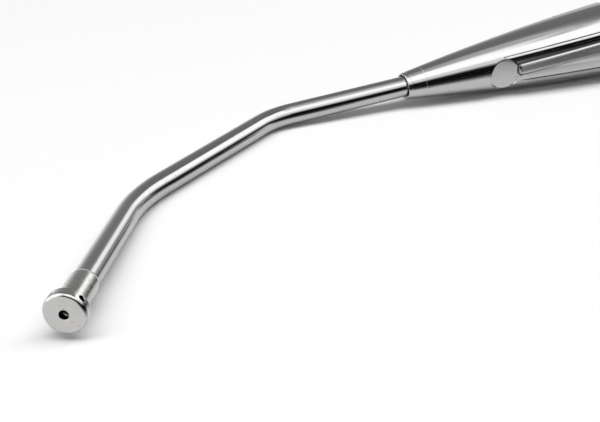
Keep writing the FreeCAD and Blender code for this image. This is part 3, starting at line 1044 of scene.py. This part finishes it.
def room_light(turn, rise):
    """Brightness of the room; turn from -y towards +x and rise above the table, in degrees.

    The cloth comes up in two soft steps, whose heights are read along the turn, and ends at a
    top edge that falls towards the back. Behind is a grey wall, brighter towards the table.
    """
    at = (0.0, 15.0, 30.0, 45.0, 60.0, 75.0, 90.0, 105.0, 120.0, 150.0)
    first = np.interp(turn, at, (30.0, 29.0, 22.0, 20.0, 17.0, 15.0, 12.0, 9.0, 7.0, 2.0))
    second = np.interp(turn, at, (46.0, 46.0, 41.0, 39.0, 33.0, 24.0, 19.0, 16.0, 14.0, 8.0))
    top = np.interp(turn, (80.0, 95.0, 105.0, 120.0, 135.0, 150.0, 180.0),
                    (68.0, 60.0, 47.0, 38.0, 25.0, 18.0, 5.0))
    cloth = 1.2 * rise_from(rise, first - 7.0, first + 9.0)
    cloth = cloth + 0.9 * rise_from(rise, second - 4.0, second + 8.0)
    line = 0.3 * np.exp(-((rise - 36.5) / 2.0) ** 2) * rise_from(-turn, -35.0, -15.0)
    front = 0.008 + cloth + line
    ceiling = 0.75 + 1.3 * rise_from(-turn, -95.0, -40.0)
    gap = 0.6 * np.exp(-((rise - 67.0) / 2.5) ** 2) * rise_from(turn, 35.0, 60.0)
    high = rise_from(rise, 66.0, 72.0)
    front = (front * (1.0 - high) + ceiling * high) * (1.0 - gap)
    wall = 0.27 + 0.75 * np.exp(-np.maximum(rise, 0.0) / 9.0) + 0.45 * rise_from(rise, 58.0, 78.0)
    behind = rise_from(rise, top - 4.0, top + 5.0) * rise_from(turn, 78.0, 100.0) * (1.0 - high)
    behind = np.maximum(behind, rise_from(turn, 120.0, 160.0))
    left = rise_from(-turn, 45.0, 70.0)
    side = 2.0 * left * rise_from(-rise, -75.0, -60.0)
    far_left = rise_from(-turn, 125.0, 150.0)
    front = np.maximum(front * (1.0 - left), side) + 1.2 * left * high
    result = front * (1.0 - behind) + wall * behind
    return result * (1.0 - far_left) + wall * far_left


def only_reflections(name, finish_name, points, faces, values):
    """A stage object that only glossy rays see, and the tree of its new material.

    The values are stored on its points, and the last item is the socket that gives them.
    """
    mesh = new_mesh(name, points, faces)
    store(mesh, "shade", values)
    thing = add_object(name, mesh)
    for ray in ("camera", "diffuse", "transmission", "shadow", "volume_scatter"):
        setattr(thing, "visible_" + ray, False)
    material = bpy.data.materials.new(finish_name)
    mesh.materials.append(material)
    tree = empty_tree(material)
    return tree, stored_value(tree, "shade")


room_rise = np.linspace(-0.3, 90.0, 240)[:, None]
room_turn = np.linspace(-180.0, 180.0, 361)[:-1]
room_reach = 3.9
light = room_light(room_turn, room_rise)
rise, turn = np.radians(room_rise), np.radians(room_turn)
room_points = room_reach * np.stack(np.broadcast_arrays(
    np.cos(rise) * np.sin(turn), -np.cos(rise) * np.cos(turn), np.sin(rise)), axis=2)
room_faces = grid_faces(*light.shape, False, True)
tree, shade = only_reflections("room_dome", "room_light", room_points, room_faces, light)
glow = node(tree, "Emission", {"Strength": shade})
node(tree, "OutputMaterial", {"Surface": glow.outputs["Emission"]})
print("room from", light.min().round(3), "to", light.max().round(3))

# %% [markdown]
# ## Painted shade on the table, seen only in reflections
#
# The tube and the handle show a broad dark band where the table in front of them should be. A
# dark sheet over the table, seen only in reflections, paints that shade. It starts a few
# millimetres from the tube and further from the handle, and it comes in softly, so near the metal
# the table and its shadow still show.

# %% Painted shade sheet
handle_reach, tip_reach, sheet_height, sheet_glow = 72.0, 75.0, 0.3, 0.01
cover_reach = np.array([21.0, 9.5, 9.5, 12.0])
cover_power = np.array([1.5, 4.0, 4.0, 1.3])


def from_segment(points, start, end):
    """Distance to a segment on the table, and whether a point is on the inner side of the bends."""
    way = end - start
    length = np.linalg.norm(way)
    way = way / length
    along = np.clip((points - start) @ way, 0.0, length)
    gap = np.linalg.norm(points - start - along[..., None] * way, axis=-1)
    return gap, (points - start) @ np.array([-way[1], way[0]]) > 0.0


sheet_x = np.concatenate([np.linspace(-170.0, 110.0, 141), np.geomspace(115.0, 1500.0, 24)])
sheet_y = -np.concatenate([np.linspace(-60.0, 110.0, 86), np.geomspace(114.0, 1500.0, 24)])
sheet_grid = np.stack(np.meshgrid(sheet_x, sheet_y, indexing="ij"), axis=2)
# The four runs start at the handle's rear and turn at its nose and at the tube's two bends.
headings = np.concatenate([[0.0, 0.0], np.cumsum(bend_turns)])
steps = np.array([handle_reach, runs[0], runs[1], tip_reach])[:, None]
corners = np.cumsum(np.concatenate([
    [[handle_reach, 0.0, 0.0]],
    -steps * np.stack([np.cos(headings), np.sin(headings), np.zeros(4)], axis=1)]), axis=0)
corners = lay_down(corners)[:, :2] * 1000.0
# Beside each run the shade sheet covers 1 - (reach / distance)^power of the table, blended by
# nearness.
segments = zip(corners[:-1], corners[1:])
gaps, sides = zip(*[from_segment(sheet_grid, *ends) for ends in segments])
nearness = np.stack(gaps, axis=2) ** -4.0
nearness = nearness / nearness.sum(axis=2, keepdims=True)
nearest = np.maximum(np.minimum.reduce(gaps), 0.1)
bare = np.minimum(1.0, (nearness @ cover_reach / nearest) ** (nearness @ cover_power))
cover = (1.0 - bare) * np.logical_and.reduce(sides)
sheet_rise = np.full(cover.shape + (1,), sheet_height)
sheet_points = np.concatenate([sheet_grid, sheet_rise], axis=2) * 0.001
# Painted shade: a nearly black sheet, seen only in reflections, darkens the table there.
tree, shade = only_reflections(
    "reflected_shade_sheet", "reflected_shade_sheet", sheet_points, grid_faces(*cover.shape, False, False), cover)
mix = node(tree, "MixShader", {
    "Fac": shade, 1: node(tree, "BsdfTransparent").outputs["BSDF"],
    2: node(tree, "Emission", {"Strength": sheet_glow}).outputs["Emission"]})
node(tree, "OutputMaterial", {"Surface": mix.outputs["Shader"]})
print("reflected shade sheet covers", round(float(cover.mean()), 2), "of its grid")

# %% [markdown]
# ## The world
#
# Beyond the table is plain white for the eye. As light it is a soft fill: it reaches under the
# thin tube, whose shadow stays faint, and less under the handle, whose shadow stays dark.

# %% World
room_fill = 0.33
world = bpy.data.worlds.new("studio")
bpy.context.scene.world = world
tree = empty_tree(world)
rays = node(tree, "LightPath").outputs
times, plus, larger = maths(tree)
seen = larger(rays["Is Camera Ray"], rays["Is Glossy Ray"])
seen = larger(seen, rays["Is Transmission Ray"])
strength = plus(room_fill, times(seen, 1.0 - room_fill))
background = node(tree, "Background", {"Strength": strength})
node(tree, "OutputWorld", {"Surface": background.outputs["Background"]})
print("world fill:", room_fill)

# %% [markdown]
# ## Camera
#
# The photograph's angle was found by fitting a camera to the tube's constant width, both bends
# and the button's round face. It looks down at about 28 degrees from the tip's side, with a
# lens of 72 mm on a 36 mm sensor.

# %% Camera
camera_data = bpy.data.cameras.new("camera")
camera_data.lens, camera_data.sensor_width, camera_data.sensor_fit = 72.0, 36.0, "HORIZONTAL"
camera_data.clip_start = 0.01
camera = add_object("camera", camera_data)
camera_place = (-0.15445, -0.26578, 0.14931)
view_right = np.array([0.9199, -0.3921, 0.0026])
view_forward = np.array([0.3457, 0.8080, -0.4770])
view_right = view_right / np.linalg.norm(view_right)
view_up = np.cross(view_right, view_forward)
view_up = view_up / np.linalg.norm(view_up)
placed = np.eye(4)
placed[:3, :3] = np.stack([view_right, view_up, np.cross(view_right, view_up)], axis=1)
placed[:3, 3] = camera_place
camera.matrix_world = Matrix(placed.tolist())
bpy.context.scene.camera = camera
bpy.context.scene.view_settings.view_transform = "Standard"
